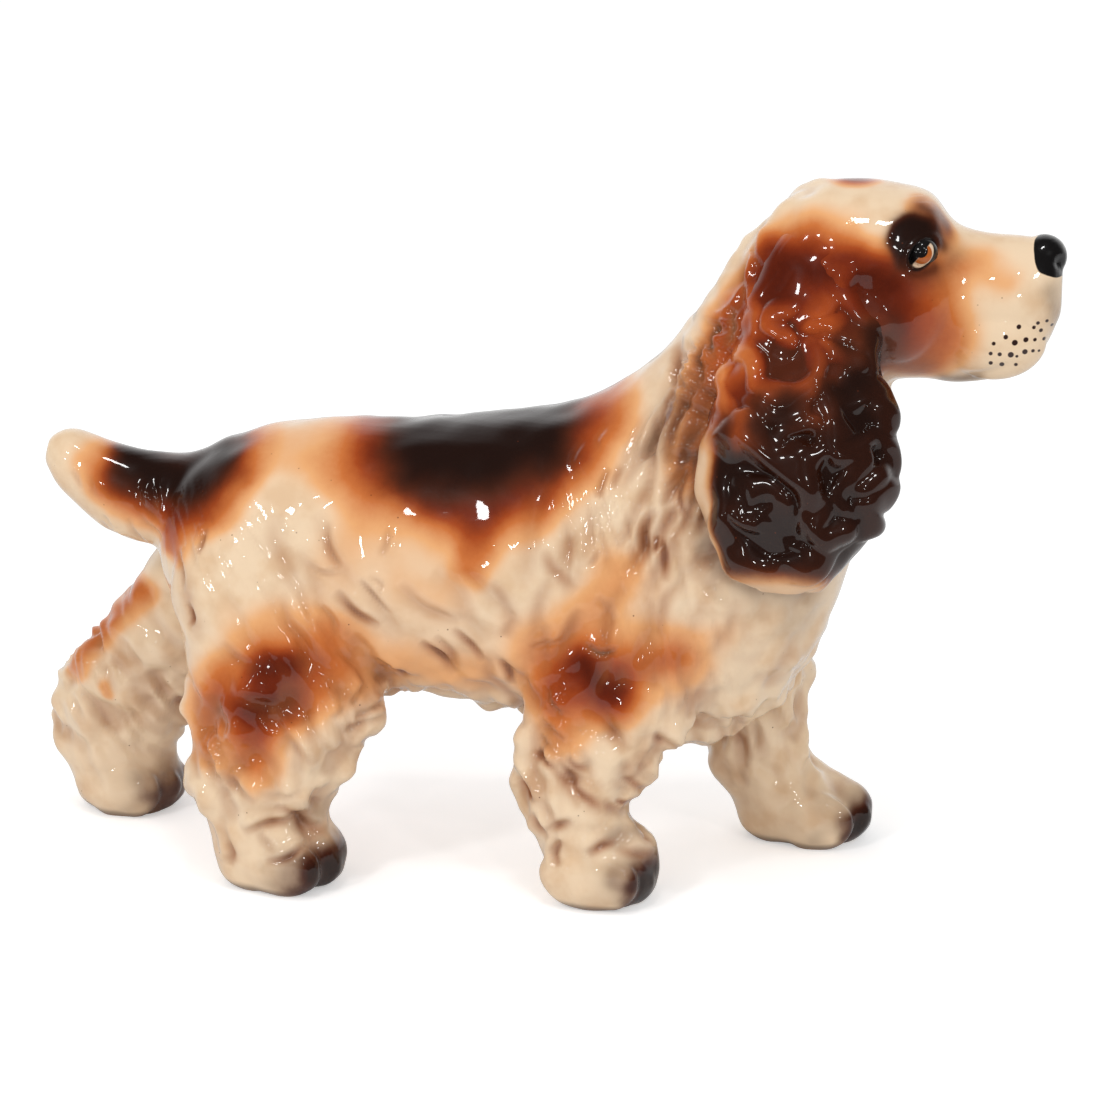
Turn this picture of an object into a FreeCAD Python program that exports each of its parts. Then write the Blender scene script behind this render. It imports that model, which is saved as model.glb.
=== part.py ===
import FreeCAD, Part
import math
import os

# A standing spaniel figure in slip-cast earthenware, as nine castings luted together.
# Millimetres. +X is where the dog faces, +Y is its left side, +Z is up, and it stands on Z = 0.

doc = FreeCAD.newDocument("spaniel_figure")
sheet = doc.addObject("Spreadsheet::Sheet", "Sizes")

driving_sizes = [
    ("rump_setback", 106.5, "from the origin back to the rump"),
    ("body_length", 190, "from the rump to the front of the chest"),
    ("leg_height", 38.5, "from the ground to the lowest point of the chest"),
    ("chest_depth", 109, "from the lowest point of the chest to the shoulders"),
    ("body_width", 76, "across the ribs"),
    ("neck_reach", 62, "how far the neck joint lies in front of the foot of the neck"),
    ("neck_rise", 68, "how far the neck joint lies above the foot of the neck"),
    ("head_length", 80, "from the back of the skull to the lips"),
    ("head_depth", 57, "from the crown to the jaw"),
    ("head_width", 49, "across the cheeks"),
    ("muzzle_depth", 45, "from the bridge of the nose to the jaw"),
    ("muzzle_width", 33, "across the lips"),
    ("nose_width", 13, "across the nose"),
    ("eye_diameter", 10, "across the eyeball"),
    ("ear_length", 96, "from the ear's root to its tip"),
    ("ear_width", 52, "across the lobe"),
    ("ear_thickness", 22, "through the lobe"),
    ("ear_spread", 23, "how far the lobe stands out from the ear's root"),
    ("tail_length", 56, "from inside the rump to the tip"),
    ("tail_thickness", 30, "across the tail's root"),
    ("hind_stride", 60, "between the two hind paws, along the dog"),
    ("fore_stride", 52, "between the two fore paws, along the dog"),
    ("stance_width", 60, "between the left and right paws"),
    ("haunch_depth", 53, "through the haunch, front to back"),
    ("shoulder_depth", 50, "through the shoulder, front to back"),
    ("limb_width", 32, "across a limb"),
    ("paw_length", 41, "heel to toe"),
    ("paw_width", 29, "across a paw"),
    ("toe_diameter", 13, "across a toe"),
    ("wall_thickness", 4.5, "the casting's wall"),
    ("sole_thickness", 5, "the casting's wall under a paw"),
    ("vent_diameter", 5, "the vent hole under the belly"),
    ("air_hole_diameter", 4, "the holes that let air out of the legs and the tail"),
]
for line, (alias, value, meaning) in enumerate(driving_sizes, start=1):
    sheet.set(f"A{line}", alias)
    sheet.set(f"B{line}", str(value))
    sheet.setAlias(f"B{line}", alias)
    sheet.set(f"C{line}", meaning)
doc.recompute()


# An expression that reads one size from the sheet, or a share of it.
def size(alias, share=1):
    return f"Sizes.{alias} * ({share})"


def total(*terms):
    return " + ".join(terms)


def place(across, side, up, turn=0):
    return f"placement(vector({across}; {side}; {up}); rotation(vector(0; 1; 0); {turn}))"


def add(kind, label, **bindings):
    thing = doc.addObject(kind, label)
    for name, expression in bindings.items():
        thing.setExpression(name, expression)
    return thing


# A smooth closed curve through points on the unit circle. A true circle has corners in its formula
# at each quarter, and forms lofted through stretched circles carry them along.
unit_curve_points = 12
angles = [2 * math.pi * number / unit_curve_points for number in range(unit_curve_points)]
unit_curve = Part.BSplineCurve()
unit_points = [FreeCAD.Vector(math.cos(angle), math.sin(angle), 0) for angle in angles]
unit_curve.interpolate(unit_points, PeriodicFlag=True)
unit_circle = doc.addObject("Part::Feature", "unit_circle")
unit_circle.Shape = Part.Wire([unit_curve.toShape()])


# An oval ring: the unit circle stretched to two half sizes and set in its place.
def ring(label, half_x, half_y, where):
    oval = add("Part::Scale", label, XScale=half_x, YScale=half_y, ZScale=half_y, Placement=where)
    oval.Base = unit_circle
    oval.Uniform = False
    return oval


def loft(label, rings, straight=False):
    form = doc.addObject("Part::Loft", label)
    form.Sections = rings
    form.Solid = True
    form.Ruled = straight
    return form


def fuse(label, shapes):
    joined = doc.addObject("Part::MultiFuse", label)
    joined.Shapes = shapes
    joined.Refine = False
    return joined


def cut(label, base, tool):
    left_over = doc.addObject("Part::Cut", label)
    left_over.Base = base
    left_over.Tool = tool
    left_over.Refine = False
    return left_over


# Upright rings stand across the dog. Turned by a quarter turn and leaned back by their tilt,
# they have their first half size going up and their second going sideways.
quarter_turn = 90
half_share = 0.5
no_wall = "0"
wall = size("wall_thickness")


def upright_rings(label, rows, inset):
    rings = []
    for number, (across, up, half_height, half_width, tilt) in enumerate(rows, start=1):
        turn = -quarter_turn - tilt
        where = place(across, 0, up, turn)
        inset_height = f"{half_height} - {inset}"
        inset_width = f"{half_width} - {inset}"
        rings.append(ring(f"{label}_ring_{number}", inset_height, inset_width, where))
    return rings


# Trunk from the rump to the foot of the neck. Each row: along the body length from the rump, height
# over the leg height in chest depths, half height in chest depths, half width in body widths, tilt.
trunk_shares = [
    (0.005, 0.56, 0.06, 0.07, 0),
    (0.042, 0.50, 0.222, 0.275, 0),
    (0.105, 0.477, 0.297, 0.378, 0),
    (0.18, 0.472, 0.346, 0.42, 0),
    (0.28, 0.472, 0.365, 0.443, 0),
    (0.40, 0.48, 0.367, 0.454, 0),
    (0.532, 0.477, 0.395, 0.474, 0),
    (0.663, 0.466, 0.444, 0.493, 5),
]
# Neck from its foot to its joint with the head. Each row: along the neck's reach, along its rise,
# half height in chest depths, half width in body widths, tilt.
neck_shares = [
    (0.355, 0.048, 0.50, 0.50, 10.5),
    (0.645, 0.25, 0.488, 0.473, 17.5),
    (0.87, 0.617, 0.431, 0.408, 24.5),
    (1, 1, 0.306, 0.342, 39),
]
neck_foot_length_share = trunk_shares[-1][0]
neck_foot_height_share = trunk_shares[-1][1]


def from_rump(share):
    return total(size("rump_setback", -1), size("body_length", share))


def over_chest(share):
    return total(size("leg_height"), size("chest_depth", share))


def along_neck(share):
    return total(from_rump(neck_foot_length_share), size("neck_reach", share))


def up_neck(share):
    return total(over_chest(neck_foot_height_share), size("neck_rise", share))


trunk_rows = []
for along, up, half_height, half_width, tilt in trunk_shares:
    half_sizes = (size("chest_depth", half_height), size("body_width", half_width))
    trunk_rows.append((from_rump(along), over_chest(up), *half_sizes, tilt))
for along, up, half_height, half_width, tilt in neck_shares:
    half_sizes = (size("chest_depth", half_height), size("body_width", half_width))
    trunk_rows.append((along_neck(along), up_neck(up), *half_sizes, tilt))

# A cavity follows the outside at the wall's distance, straight from ring to ring. This one leaves
# the rump's first rings solid and runs to the neck joint.
solid_rump_rings = 2
trunk_outside = loft("trunk_outside", upright_rings("trunk_outside", trunk_rows, no_wall))
trunk_cavity_rings = upright_rings("trunk_cavity", trunk_rows[solid_rump_rings:], wall)
trunk_cavity = loft("trunk_cavity", trunk_cavity_rings, straight=True)

# Head from its joint with the neck, whose ring it shares, to the lips. Each row: along in head
# lengths from the neck joint, up in head depths, half height, half width, tilt. The skull's halves
# are shares of the head's depth and width, and the muzzle's of the muzzle's.
skull_shares = [
    (0.097, 0.21, 0.57, 0.50, 27.5),
    (0.194, 0.276, 0.53, 0.50, 18),
    (0.312, 0.29, 0.488, 0.46, 8),
    (0.412, 0.268, 0.453, 0.40, 2),
]
muzzle_shares = [
    (0.488, 0.197, 0.494, 0.50, 0),
    (0.625, 0.184, 0.45, 0.445, 0),
    (0.763, 0.223, 0.373, 0.364, 0),
    (0.844, 0.28, 0.155, 0.15, 0),
]


def along_head(share):
    return total(along_neck(1), size("head_length", share))


def up_head(share):
    return total(up_neck(1), size("head_depth", share))


head_rows = [trunk_rows[-1]]
for along, up, half_height, half_width, tilt in skull_shares:
    half_sizes = (size("head_depth", half_height), size("head_width", half_width))
    head_rows.append((along_head(along), up_head(up), *half_sizes, tilt))
for along, up, half_height, half_width, tilt in muzzle_shares:
    half_sizes = (size("muzzle_depth", half_height), size("muzzle_width", half_width))
    head_rows.append((along_head(along), up_head(up), *half_sizes, tilt))

solid_lip_rings = 2
head_outside = loft("head_outside", upright_rings("head_outside", head_rows, no_wall))
head_cavity_rings = upright_rings("head_cavity", head_rows[:-solid_lip_rings], wall)
head_cavity = loft("head_cavity", head_cavity_rings, straight=True)


def ball(label, radius, where):
    return add("Part::Sphere", label, Radius=radius, Placement=where)


nose_along_share = 0.78
nose_up_share = 0.44
nose_where = place(along_head(nose_along_share), 0, up_head(nose_up_share))
nose = ball("nose", size("nose_width", half_share), nose_where)

eye_along_share = 0.35
eye_up_share = 0.51
eye_side_share = 0.33
eyes = []
for side_name, side in (("left", 1), ("right", -1)):
    eye_out = size("head_width", side * eye_side_share)
    eye_where = place(along_head(eye_along_share), eye_out, up_head(eye_up_share))
    eyes.append(ball(f"{side_name}_eye", size("eye_diameter", half_share), eye_where))

# Tail, carried back and a little up. Each row: along in tail lengths behind the rump, up in tail
# thicknesses from its root, half height, half width, tilt.
tail_shares = [
    (-0.30, 0.03, 0.53, 0.48, -14),
    (-0.03, -0.06, 0.467, 0.423, -20),
    (0.286, 0.04, 0.40, 0.37, -22.5),
    (0.50, 0.32, 0.275, 0.255, -17),
    (0.585, 0.40, 0.14, 0.13, -17),
]
tail_root_share = 0.62


def behind_rump(share):
    return total(from_rump(0), size("tail_length", -share))


tail_rows = []
for along, up, half_height, half_width, tilt in tail_shares:
    where_up = total(over_chest(tail_root_share), size("tail_thickness", up))
    half_sizes = (size("tail_thickness", half_height), size("tail_thickness", half_width))
    tail_rows.append((behind_rump(along), where_up, *half_sizes, tilt))

solid_tip_rings = 2
tail_outside = loft("tail_outside", upright_rings("tail_outside", tail_rows, no_wall))
tail_cavity_rings = upright_rings("tail_cavity", tail_rows[:-solid_tip_rings], wall)
tail_cavity = loft("tail_cavity", tail_cavity_rings, straight=True)

# Limbs, from the sole up into the trunk. Each paw row: height in leg heights, along in strides,
# half length in paw lengths, half width in paw widths. Each limb row: height over the chest's
# lowest point in chest depths, along in strides, half length in haunch or shoulder depths,
# half width in limb widths, and how far out it lies in stance widths.
right_hind_paw_shares = [
    (0, 0.125, 0.305, 0.375),
    (0.11, 0.133, 0.44, 0.475),
    (0.31, 0.125, 0.475, 0.50),
    (0.52, 0.07, 0.433, 0.464),
    (0.73, 0.054, 0.50, 0.48),
]
right_hind_limb_shares = [
    (0.015, 0.125, 0.46, 0.47, 0.483),
    (0.18, 0.155, 0.533, 0.53, 0.43),
    (0.40, 0.058, 0.50, 0.50, 0.383),
    (0.583, 0.033, 0.28, 0.33, 0.30),
]
left_hind_paw_shares = [
    (0, -0.858, 0.305, 0.375),
    (0.11, -0.863, 0.396, 0.475),
    (0.31, -0.883, 0.42, 0.50),
    (0.52, -0.933, 0.463, 0.48),
    (0.73, -0.907, 0.51, 0.50),
]
left_hind_limb_shares = [
    (0.015, -0.80, 0.475, 0.48, 0.483),
    (0.18, -0.525, 0.52, 0.53, 0.43),
    (0.40, -0.225, 0.50, 0.50, 0.383),
    (0.583, -0.05, 0.30, 0.33, 0.30),
]
right_fore_paw_shares = [
    (0, -0.25, 0.24, 0.375),
    (0.11, -0.26, 0.34, 0.464),
    (0.31, -0.30, 0.40, 0.48),
    (0.56, -0.385, 0.39, 0.456),
]
right_fore_limb_shares = [
    (-0.04, -0.42, 0.37, 0.40, 0.50),
    (0.151, -0.265, 0.495, 0.453, 0.475),
    (0.36, -0.21, 0.47, 0.48, 0.455),
    (0.49, -0.19, 0.39, 0.42, 0.40),
    (0.59, -0.18, 0.25, 0.31, 0.32),
]
left_fore_paw_shares = [
    (0, 0.72, 0.354, 0.375),
    (0.11, 0.73, 0.463, 0.464),
    (0.26, 0.72, 0.50, 0.48),
    (0.50, 0.555, 0.43, 0.456),
]
left_fore_limb_shares = [
    (-0.04, 0.455, 0.305, 0.40, 0.50),
    (0.151, 0.423, 0.32, 0.453, 0.475),
    (0.36, 0.28, 0.40, 0.48, 0.455),
    (0.49, 0.18, 0.37, 0.42, 0.40),
    (0.59, 0.11, 0.25, 0.31, 0.32),
]
hip_share = 0.168
shoulder_share = 0.779
hind = (hip_share, "hind_stride", "haunch_depth")
fore = (shoulder_share, "fore_stride", "shoulder_depth")
limbs = [
    ("right_hind_leg", -1, *hind, right_hind_paw_shares, right_hind_limb_shares),
    ("left_hind_leg", 1, *hind, left_hind_paw_shares, left_hind_limb_shares),
    ("right_foreleg", -1, *fore, right_fore_paw_shares, right_fore_limb_shares),
    ("left_foreleg", 1, *fore, left_fore_paw_shares, left_fore_limb_shares),
]


# The level rings of one limb: the place's three terms, then the half length and the half width.
def limb_rows(side, joint_share, stride, depth, paw_shares, limb_shares):
    rows = []
    for up, along, half_length, half_width in paw_shares:
        across = total(from_rump(joint_share), size(stride, along))
        sideways = size("stance_width", side * half_share)
        half_sizes = (size("paw_length", half_length), size("paw_width", half_width))
        rows.append((across, sideways, size("leg_height", up), *half_sizes))
    for up, along, half_length, half_width, out in limb_shares:
        across = total(from_rump(joint_share), size(stride, along))
        sideways = size("stance_width", side * out)
        half_sizes = (size(depth, half_length), size("limb_width", half_width))
        rows.append((across, sideways, over_chest(up), *half_sizes))
    return rows


def level_rings(label, rows, inset):
    rings = []
    for number, (across, side, up, half_length, half_width) in enumerate(rows, start=1):
        where = place(across, side, up)
        inset_length = f"{half_length} - {inset}"
        inset_width = f"{half_width} - {inset}"
        rings.append(ring(f"{label}_ring_{number}", inset_length, inset_width, where))
    return rings


# The cavity starts over the sole, with the outline of the second ring, and ends in the trunk.
def cavity_rows(rows):
    across, side, up, half_length, half_width = rows[1]
    return [(across, side, size("sole_thickness"), half_length, half_width)] + rows[2:-1]


# Toes: balls at the front of each paw, placed across the paw and back from its tip.
toe_side_shares = (-0.31, 0, 0.31)
toe_back_shares = (0.165, 0.10, 0.165)
toe_up_share = 0.6


def toes(label, side, joint_share, stride, paw_shares):
    _, along_share, half_length_share, _ = paw_shares[1]
    made = []
    for number, (out, back) in enumerate(zip(toe_side_shares, toe_back_shares), start=1):
        reach = size("paw_length", half_length_share - back)
        along = total(from_rump(joint_share), size(stride, along_share), reach)
        sideways = total(size("stance_width", side * half_share), size("paw_width", out))
        where = place(along, sideways, size("toe_diameter", toe_up_share))
        made.append(ball(f"{label}_toe_{number}", size("toe_diameter", half_share), where))
    return made


limb_outsides = {}
limb_cavities = {}
limb_toes = {}
for name, side, joint_share, stride, depth, paw_shares, upper_shares in limbs:
    rows = limb_rows(side, joint_share, stride, depth, paw_shares, upper_shares)
    limb_outsides[name] = loft(f"{name}_outside", level_rings(f"{name}_outside", rows, no_wall))
    cavity_rings = level_rings(f"{name}_cavity", cavity_rows(rows), wall)
    limb_cavities[name] = loft(f"{name}_cavity", cavity_rings, straight=True)
    limb_toes[name] = toes(name, side, joint_share, stride, paw_shares)

# Vent hole under the belly, and an air hole through the trunk's wall inside each leg and the tail,
# because a closed hollow would burst in the kiln.
vent_along_share = 0.45
vent_sizes = {"Radius": size("vent_diameter", half_share), "Height": over_chest(half_share)}
vent_place = place(from_rump(vent_along_share), 0, 0)
holes = [add("Part::Cylinder", "vent", Placement=vent_place, **vent_sizes)]
air_hole_height_share = 0.30
air_hole_radius = size("air_hole_diameter", half_share)
air_hole_sizes = {"Radius": air_hole_radius, "Height": size("limb_width")}
for name, side, joint_share, *_ in limbs:
    where = f"vector({from_rump(joint_share)}; 0; {over_chest(air_hole_height_share)})"
    outwards = f"placement({where}; rotation(vector(1; 0; 0); {-side * quarter_turn}))"
    holes.append(add("Part::Cylinder", f"{name}_air_hole", Placement=outwards, **air_hole_sizes))
tail_air_place = place(from_rump(0), 0, over_chest(tail_root_share), quarter_turn)
holes.append(add("Part::Cylinder", "tail_air_hole", Placement=tail_air_place, **air_hole_sizes))

castings = {}

# Torso casting: the trunk and neck less their cavity and the holes.
torso_hollow = fuse("torso_hollow", [trunk_cavity] + holes)
castings["torso"] = cut("torso_casting", trunk_outside, torso_hollow)

# Head casting: skull and muzzle with the nose and eyes modelled on, less the cavity.
head_form = fuse("head_form", [head_outside, nose] + eyes)
castings["head"] = cut("head_casting", head_form, head_cavity)

# Tail casting: what stands out of the rump, less its cavity.
tail_behind = cut("tail_behind", tail_outside, trunk_outside)
castings["tail"] = cut("tail_casting", tail_behind, tail_cavity)

# Leg castings: each limb cut to sit on the trunk's side, with its toes, less its cavity.
for name, *_ in limbs:
    limb_seated = cut(f"{name}_seated", limb_outsides[name], trunk_outside)
    limb_form = fuse(f"{name}_form", [limb_seated] + limb_toes[name])
    castings[name] = cut(f"{name}_casting", limb_form, limb_cavities[name])

# Ears: solid flaps that hang from the side of the skull and lie on the head and neck. Each row:
# down in ear lengths from the root, along in ear widths from the neck joint, half length in ear
# widths, half thickness in ear thicknesses, and how far out in ear spreads.
ear_root_side_share = 0.33
ear_root_up_share = 0.614
ear_shares = [
    (0, 0.077, 0.115, 0.18, 0),
    (0.167, 0.04, 0.29, 0.36, 0.35),
    (0.4375, -0.01, 0.42, 0.455, 0.65),
    (0.70, -0.04, 0.50, 0.52, 0.87),
    (0.896, -0.077, 0.36, 0.455, 1),
    (1, -0.077, 0.154, 0.2, 1),
]


def ear_rows(side):
    rows = []
    for down, along, half_length, half_thickness, out in ear_shares:
        across = total(along_neck(1), size("ear_width", along))
        sideways = total(size("head_width", side * ear_root_side_share), size("ear_spread", side * out))
        up = total(up_head(ear_root_up_share), size("ear_length", -down))
        half_sizes = (size("ear_width", half_length), size("ear_thickness", half_thickness))
        rows.append((across, sideways, up, *half_sizes))
    return rows


for name, side in (("left_ear", 1), ("right_ear", -1)):
    ear_outside = loft(f"{name}_outside", level_rings(f"{name}_outside", ear_rows(side), no_wall))
    ear_on_head = cut(f"{name}_on_head", ear_outside, head_outside)
    castings[name] = cut(f"{name}_casting", ear_on_head, trunk_outside)

doc.recompute()
for name, casting in castings.items():
    casting.Label = name
failed = [thing.Label for thing in doc.Objects if "Invalid" in thing.State or "Error" in thing.State]
if failed:
    raise RuntimeError("not made: " + ", ".join(failed))
for name, casting in castings.items():
    made = casting.Shape
    if made.isNull() or not made.isValid() or len(made.Solids) != 1:
        raise RuntimeError("no valid single solid: " + name)

os.makedirs("parts", exist_ok=True)
for name, casting in castings.items():
    casting.Shape.exportStep(f"parts/{name}.step")
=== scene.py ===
import bmesh
import bpy
import numpy as np
from mathutils import Matrix, Vector


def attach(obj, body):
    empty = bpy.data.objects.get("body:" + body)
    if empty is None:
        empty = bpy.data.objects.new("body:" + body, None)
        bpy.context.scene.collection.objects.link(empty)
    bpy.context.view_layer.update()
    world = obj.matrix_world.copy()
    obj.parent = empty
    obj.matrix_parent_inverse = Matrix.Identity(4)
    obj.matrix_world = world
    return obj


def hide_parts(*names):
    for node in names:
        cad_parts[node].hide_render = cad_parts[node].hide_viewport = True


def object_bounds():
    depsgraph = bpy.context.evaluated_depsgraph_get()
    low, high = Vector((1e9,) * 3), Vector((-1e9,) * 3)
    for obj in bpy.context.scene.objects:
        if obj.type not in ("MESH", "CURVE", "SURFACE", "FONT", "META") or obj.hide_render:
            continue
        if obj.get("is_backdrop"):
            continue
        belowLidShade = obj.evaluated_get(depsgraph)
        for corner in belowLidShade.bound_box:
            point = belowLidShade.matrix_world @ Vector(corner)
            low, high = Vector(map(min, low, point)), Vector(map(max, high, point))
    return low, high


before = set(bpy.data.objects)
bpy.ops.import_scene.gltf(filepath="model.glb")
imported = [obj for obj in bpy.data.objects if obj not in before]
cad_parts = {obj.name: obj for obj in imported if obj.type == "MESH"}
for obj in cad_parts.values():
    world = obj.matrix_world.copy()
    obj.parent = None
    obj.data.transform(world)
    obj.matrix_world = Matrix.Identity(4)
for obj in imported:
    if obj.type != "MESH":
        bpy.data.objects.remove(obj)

# A standing spaniel in glazed earthenware. Forms and paint are worked out in millimetres, with the
# dog facing +X and its right side at -Y, and the finished meshes are written in metres.

cadBox = [[float(v) for v in corner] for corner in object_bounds()]
metre = 0.001


def stage(message):
    print("scene:", message, flush=True)


# Camera, and points placed by a pixel of the photograph.
cameraSettings = {
    "azimuth": 8.0,  # degrees round the dog from its right side
    "elevation": 15.0,
    "distance": 1000.0,
    "pixelsPerUnit": 3500.0,  # focal length in photograph pixels
    "frame": 1100.0,  # photograph's side in pixels
    "target": (7.6, 0.0, 93.3),
}
azimuth, elevation = np.radians([cameraSettings["azimuth"], cameraSettings["elevation"]])
level = np.array([np.sin(azimuth), -np.cos(azimuth), 0])
rightward = np.array([np.cos(azimuth), np.sin(azimuth), 0])
backward = level * np.cos(elevation) + (0, 0, np.sin(elevation))
upward = np.cross(backward, rightward)
eyePoint = np.array(cameraSettings["target"]) + backward * cameraSettings["distance"]


# Where pixels, column and row in turn, fall on the upright plane this far to the dog's left: (x, z).
def onSide(pixels, side):
    offset = np.reshape(pixels, (-1, 2)) - cameraSettings["frame"] / 2
    offset = offset / cameraSettings["pixelsPerUnit"]
    ray = offset[:, :1] * rightward - offset[:, 1:] * upward - backward
    reach = (side - eyePoint[1]) / ray[:, 1]
    return (eyePoint + ray * reach[:, None])[:, [0, 2]]


# A smooth curve through every row, spaced by their distances: cubics between them, whose slope at a
# row is a mean of the slopes on both sides.
def curveThrough(rows, steps):
    rows = np.asarray(rows, float)
    span = np.linalg.norm(np.diff(rows, axis=0), axis=1)
    at = np.concatenate([[0.0], np.cumsum(span)])
    slope = np.gradient(rows, at, axis=0)
    spot = np.linspace(0, at[-1], steps)
    piece = np.clip(np.searchsorted(at, spot, side="right") - 1, 0, len(span) - 1)
    reach = span[piece][:, None]
    u = (spot - at[piece])[:, None] / reach
    start = (2 * u**3 - 3 * u**2 + 1) * rows[piece] + (u**3 - 2 * u**2 + u) * reach * slope[piece]
    end = (3 * u**2 - 2 * u**3) * rows[piece + 1] + (u**3 - u**2) * reach * slope[piece + 1]
    return start + end


# Smoothly from 0 at the low value to 1 at the high one, the other way, and up and down again.
def rising(value, low, high):
    share = np.clip((value - low) / (high - low), 0, 1)
    return share * share * (3 - 2 * share)


def falling(value, low, high):
    return 1 - rising(value, low, high)


def between(value, low, full, fading, high):
    return rising(value, low, full) * falling(value, fading, high)


# Soft noise: the sum of plane waves in random directions, with lengths near the given one.
def softNoise(points, length, seed, waves=20):
    rng = np.random.default_rng(seed)
    directions = rng.normal(size=(waves, 3))
    directions /= np.linalg.norm(directions, axis=1)[:, None]
    lengths = length * rng.uniform(0.75, 1.5, waves)
    phases = rng.uniform(0, 2 * np.pi, waves)
    turns = points @ (directions * (2 * np.pi / lengths)[:, None]).T
    return np.sin(turns + phases).sum(1) / np.sqrt(waves / 2)


# Two noises side by side, to move flat points about.
def wander(points, length, seed):
    return np.c_[softNoise(points, length, seed), softNoise(points, length, seed + 1)]


# A surface: its points, and its faces of four and of three corners.
class Skin:
    def __init__(self, points, quads, triangles=np.zeros((0, 3))):
        self.points = np.asarray(points, float)
        self.quads = np.asarray(quads, int)
        self.triangles = np.asarray(triangles, int)

    # A point's normal is the sum of the cross products of the faces round it.
    def normals(self):
        corner = np.concatenate([self.quads[:, [0, 1, 2]], self.quads[:, [0, 2, 3]], self.triangles])
        a, b, c = (self.points[corner[:, k]] for k in range(3))
        face = np.cross(b - a, c - a)
        count = len(self.points)
        total = np.stack([np.bincount(corner.ravel(), np.repeat(column, 3), count) for column in face.T], 1)
        return total / np.maximum(np.linalg.norm(total, axis=1), 1e-12)[:, None]

    # Each value moves towards the mean of its neighbours.
    def spread(self, values, steps, strength=0.5):
        values = np.asarray(values, float)
        ends = [self.quads[:, [k, (k + 1) % 4]] for k in range(4)]
        ends += [self.triangles[:, [k, (k + 1) % 3]] for k in range(3)]
        ends = np.concatenate(ends)
        here, there = np.concatenate([ends, ends[:, ::-1]]).T
        count = len(self.points)
        around = np.maximum(np.bincount(here, minlength=count), 1)[:, None]
        for _ in range(steps):
            mean = np.stack([np.bincount(here, column[there], count) for column in values.T], 1)
            values = values + strength * (mean / around - values)
        return values

    # Smoothing that keeps the volume: a step in, and a slightly longer step out.
    def relax(self, rounds):
        for _ in range(rounds):
            self.points = self.spread(self.points, 1, 0.5)
            self.points = self.spread(self.points, 1, -0.53)


# A surface on a grid of rings, closed at both ends by a point.
def gridSkin(grid):
    rings, around = grid.shape[:2]
    step = np.arange(around)
    after = (step + 1) % around
    ring = np.arange(rings - 1)[:, None] * around
    here, beside = ring + step, ring + after
    quads = np.stack([here, beside, beside + around, here + around], -1)
    count, base = rings * around, (rings - 1) * around
    startFan = np.c_[0 * step + count, after, step]
    endFan = np.c_[0 * step + count + 1, base + step, base + after]
    points = np.vstack([grid.reshape(-1, 3), grid[0].mean(0), grid[-1].mean(0)])
    return Skin(points, quads.reshape(-1, 4), np.vstack([startFan, endFan]))


# Rings are three arrays, and the point of a ring at angle a is centre + cos(a) first + sin(a) second.
def ringSkin(rings, around=72):
    centre, first, second = (part[:, None] for part in rings)
    angle = np.linspace(0, 2 * np.pi, around, endpoint=False)[:, None]
    return gridSkin(centre + np.cos(angle) * first + np.sin(angle) * second)


# Rings from (x, z) to (x, z), this far from the middle plane.
def ringsBetween(x, z, farX, farZ, out, wide):
    near, far = np.c_[x, out, z], np.c_[farX, out, farZ]
    return (near + far) / 2, (near - far) / 2, np.c_[0 * wide, wide, 0 * wide]


# Upright rings from rows like those of the trunk, and level ones from rows like those of the legs.
def uprightRings(rows, steps):
    topX, topZ, bottomX, bottomZ, wide = curveThrough(rows, steps).T
    return ringsBetween(topX, topZ, bottomX, bottomZ, 0 * wide, wide)


def levelRings(rows, steps, side):
    height, rear, front, out, wide = curveThrough(rows, steps).T
    return ringsBetween(front, height, rear, height, side * out, wide)


# A ball stretched to three half sizes, then turned.
def eggSkin(centre, halves, turn=0.0, tilt=0.0, rings=24, around=36):
    latitude = np.linspace(0.02, np.pi - 0.02, rings)[:, None]
    angle = np.linspace(0, 2 * np.pi, around, endpoint=False)
    out, up = np.sin(latitude), np.cos(latitude)
    ball = np.stack([out * np.cos(angle), out * np.sin(angle), up + 0 * angle], -1) * halves
    turned = Matrix.Rotation(np.radians(turn), 3, "Z") @ Matrix.Rotation(np.radians(tilt), 3, "Y")
    return gridSkin(ball @ np.array(turned).T + centre)


# How far out of a ringed form each point lies: 1 on its surface and less inside. The ring that
# counts is the one with the least sum of 6 shares and the distance to its plane.
def formReach(points, rings):
    centre, first, second = (part.astype(np.float32) for part in rings)
    axis = np.gradient(centre, axis=0)
    normal = np.cross(first, second)
    normal /= np.linalg.norm(normal, axis=1)[:, None]
    best = np.full(len(points), np.inf, np.float32)
    reach = np.full(len(points), 9.0, np.float32)
    spacing = np.linalg.norm(axis, axis=1)
    for here, tall, wide, facing, step in zip(centre, first, second, normal, spacing):
        offset = points - here
        off = np.maximum(np.abs(offset @ facing) - step, 0)
        share = np.sqrt((offset @ tall / (tall @ tall))**2 + (offset @ wide / (wide @ wide))**2)
        score = off + 6 * share
        nearer = score < best
        best[nearer] = score[nearer]
        reach[nearer] = share[nearer] + off[nearer] / 12
    return reach


def joinSkins(skins):
    offsets = np.cumsum([0] + [len(skin.points) for skin in skins[:-1]])
    points = np.concatenate([skin.points for skin in skins])
    quads = np.concatenate([skin.quads + offset for skin, offset in zip(skins, offsets)])
    triangles = np.concatenate([skin.triangles + offset for skin, offset in zip(skins, offsets)])
    return Skin(points, quads, triangles)


def meshFrom(name, skin, scale):
    mesh = bpy.data.meshes.new(name)
    mesh.from_pydata((skin.points * scale).tolist(), [], skin.quads.tolist() + skin.triangles.tolist())
    mesh.validate()
    return mesh


def show(name, data):
    thing = bpy.data.objects.new(name, data)
    bpy.context.scene.collection.objects.link(thing)
    return thing


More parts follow.
